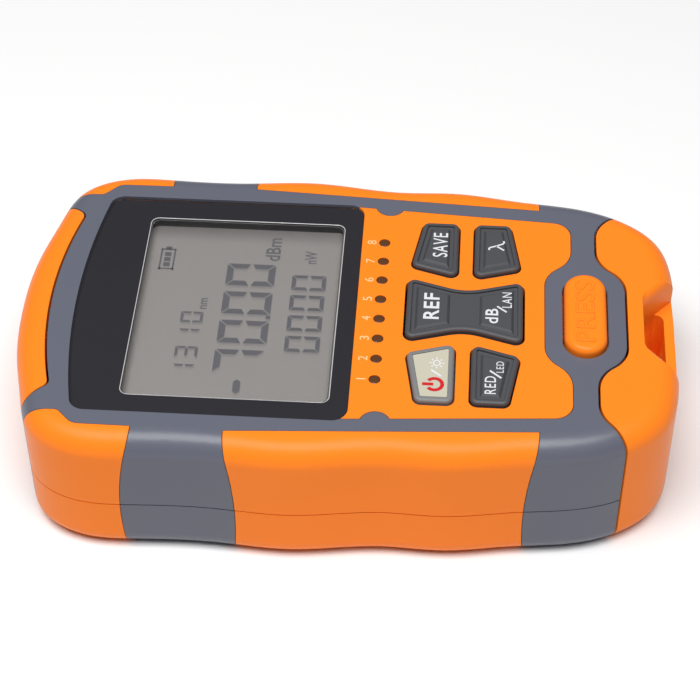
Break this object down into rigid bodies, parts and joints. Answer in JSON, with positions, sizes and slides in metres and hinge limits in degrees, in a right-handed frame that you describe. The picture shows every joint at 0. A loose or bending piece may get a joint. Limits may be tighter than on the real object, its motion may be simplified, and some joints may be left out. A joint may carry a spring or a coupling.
{
  "type": "handheld optical power meter",
  "caption": "Handheld fibre optic power meter with display, keypad, lamp row, hinged port cover, battery door and a slide-out cable test remote with lanyard eye.",
  "frame": {"origin": "middle of the rear face, which the meter lies on", "axes": "+X from the fibre ports towards the cable remote, +Y across the keys, +Z out of the display"},
  "size_m": [0.1194, 0.072, 0.0298],
  "materials": {
    "orange_plastic": "satin moulded plastic",
    "grey_rubber": "soft satin overmould",
    "key_rubber": "matt silicone",
    "clear_window": "polished",
    "black_print": "printed black",
    "display_glass": "grey display",
    "white_plastic": "diffusing",
    "board_green": "solder mask",
    "lamp_lens": "smoked lamp",
    "cream_plate": "smooth cream",
    "black_plastic": "moulded",
    "black_foam": "closed-cell foam",
    "nickel": "nickel plated",
    "brass": "gold flashed",
    "steel": "bright steel",
    "cell_wrap": "printed wrap",
    "clear_lamp": "moulded lens",
    "connector_rubber": "layered elastomer"
  },
  "bodies": {
    "housing": {"front_shell": "orange_plastic", "front_bumper": "grey_rubber", "rear_shell": "orange_plastic", "rear_bumper": "grey_rubber", "display_window": "clear_window", "window_mask": "black_print", "lcd_gasket": "black_foam", "lcd_panel": "display_glass", "backlight_plate": "white_plastic", "lcd_holder": "white_plastic", "lcd_connector": "connector_rubber", "main_board": "board_green", "indicator_lamps": "lamp_lens", "key_switches": "black_plastic", "port_plate": "black_plastic", "meter_adapter": "nickel", "photodiode": "steel", "laser_adapter": "nickel", "laser_module": "brass", "torch_lamp": "clear_lamp", "network_jack": "black_plastic", "network_jack_contacts": "brass", "cover_hinge_pin": "steel", "battery_cells": "cell_wrap", "battery_contacts": "steel", "case_screws": "steel", "release_spring": "steel", "dock_sleeve": "black_plastic"},
    "store_key": {"store_key": "key_rubber"},
    "wavelength_key": {"wavelength_key": "key_rubber"},
    "light_key": {"light_key": "key_rubber"},
    "power_key": {"power_key": "key_rubber", "power_key_plate": "cream_plate"},
    "rocker_key": {"rocker_key": "key_rubber"},
    "release_button": {"release_button": "orange_plastic"},
    "port_cover": {"port_cover": "orange_plastic"},
    "battery_door": {"battery_door": "orange_plastic"},
    "remote_unit": {"remote_cap": "orange_plastic", "remote_body": "black_plastic", "remote_jack": "black_plastic", "remote_jack_contacts": "brass", "remote_board": "board_green"}
  },
  "joints": [
    {"name": "store_key_press", "type": "slide", "parent": "housing", "child": "store_key", "axis": [0, 0, -1], "range_m": [0, 0.0007], "stiffness_N_per_m": 1500},
    {"name": "wavelength_key_press", "type": "slide", "parent": "housing", "child": "wavelength_key", "axis": [0, 0, -1], "range_m": [0, 0.0007], "stiffness_N_per_m": 1500},
    {"name": "light_key_press", "type": "slide", "parent": "housing", "child": "light_key", "axis": [0, 0, -1], "range_m": [0, 0.0007], "stiffness_N_per_m": 1500},
    {"name": "power_key_press", "type": "slide", "parent": "housing", "child": "power_key", "axis": [0, 0, -1], "range_m": [0, 0.0007], "stiffness_N_per_m": 1500},
    {"name": "rocker_key_tilt", "type": "hinge", "parent": "housing", "child": "rocker_key", "pos_m": [0.0211, 0, 0.0244], "axis": [0, 1, 0], "range_deg": [-2.5, 2.5], "stiffness_Nm_per_rad": 0.3},
    {"name": "release_button_press", "type": "slide", "parent": "housing", "child": "release_button", "axis": [0, 0, -1], "range_m": [0, 0.0016], "stiffness_N_per_m": 1800, "deforming": ["release_spring"]},
    {"name": "remote_slide", "type": "slide", "parent": "housing", "child": "remote_unit", "axis": [1, 0, 0], "range_m": [0, 0.03]},
    {"name": "port_cover_hinge", "type": "hinge", "parent": "housing", "child": "port_cover", "pos_m": [-0.0574, 0, 0.0045], "axis": [0, -1, 0], "range_deg": [0, 90]},
    {"name": "battery_door_hinge", "type": "hinge", "parent": "housing", "child": "battery_door", "pos_m": [-0.0304, 0, 0.0009], "axis": [0, 1, 0], "range_deg": [0, 80]}
  ]
}
